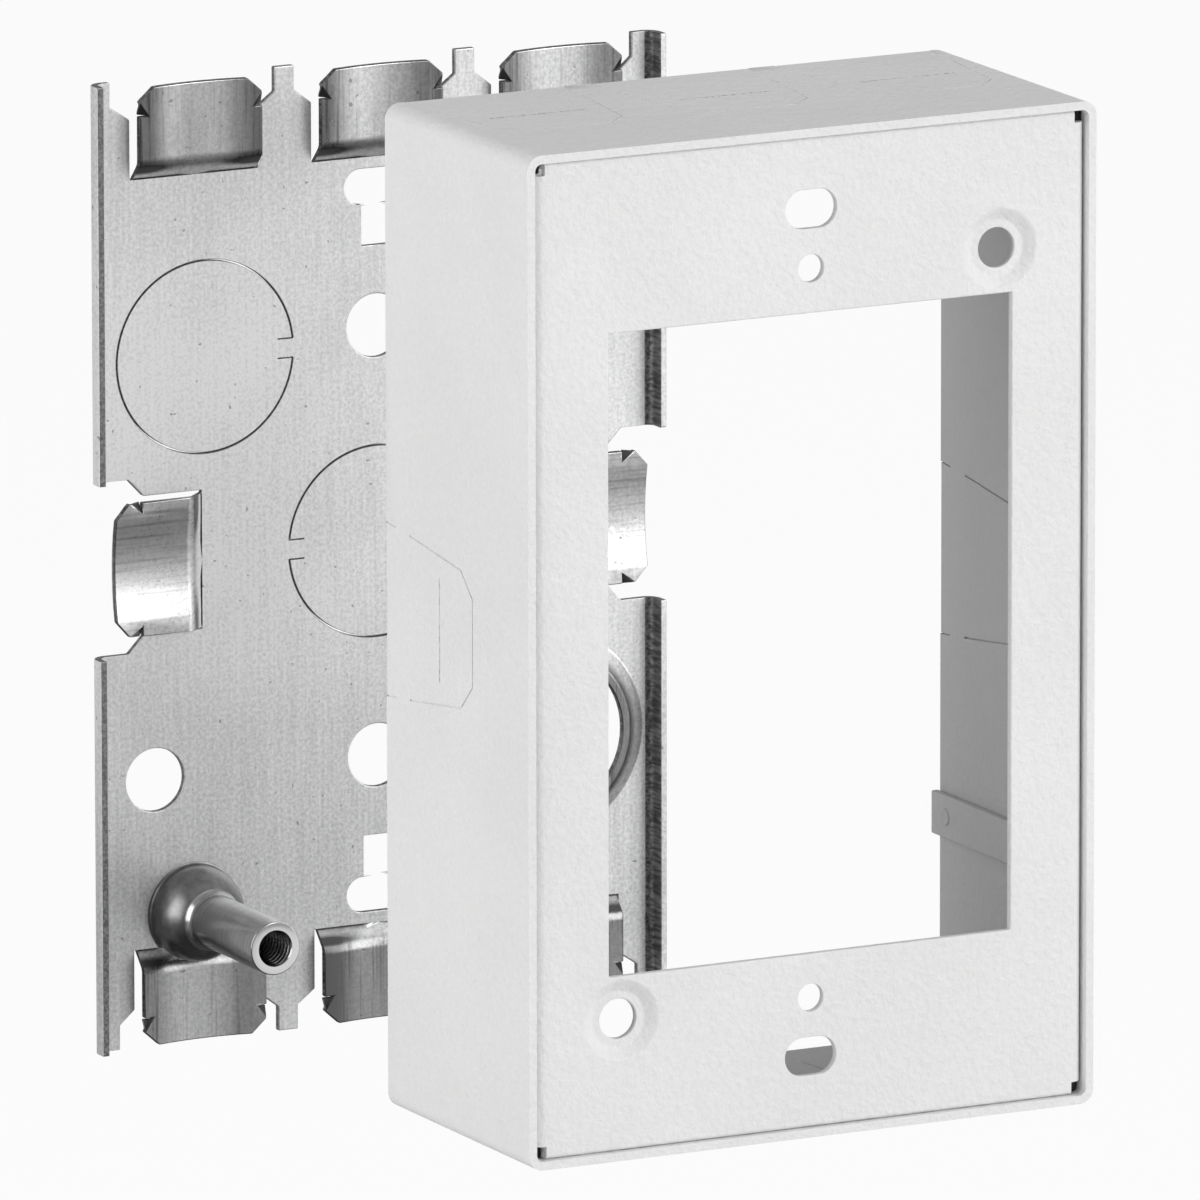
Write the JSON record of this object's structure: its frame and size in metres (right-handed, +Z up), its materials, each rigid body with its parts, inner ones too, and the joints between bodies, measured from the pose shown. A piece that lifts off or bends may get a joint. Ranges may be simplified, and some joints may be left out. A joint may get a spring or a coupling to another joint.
{
  "type": "raceway outlet box",
  "caption": "Rectangular steel surface box for a wiring device: a deep painted frame drawn off a stamped wall plate with raceway tongues.",
  "frame": {"origin": "middle of the base plate's back face, which lies on the wall", "axes": "+Z up the long side, -Y out of the wall towards the room, +X to the right as seen from the room"},
  "size_m": [0.0736, 0.1094, 0.1245],
  "materials": {
    "galvanised_sheet": "bright galvanised sheet with faint rolling lines",
    "plated_post": "zinc plated, turned",
    "white_enamel": "white baked enamel with a fine texture"
  },
  "bodies": {
    "base": {"base_plate": "galvanised_sheet", "post_lower_left": "plated_post", "post_upper_right": "plated_post"},
    "cover": {"wall_band": "white_enamel", "face_tray": "white_enamel"}
  },
  "joints": [
    {"name": "cover_slide", "type": "slide", "parent": "base", "child": "cover", "axis": [0, 0.9912, -0.1323], "range_m": [0, 0.0735]}
  ]
}
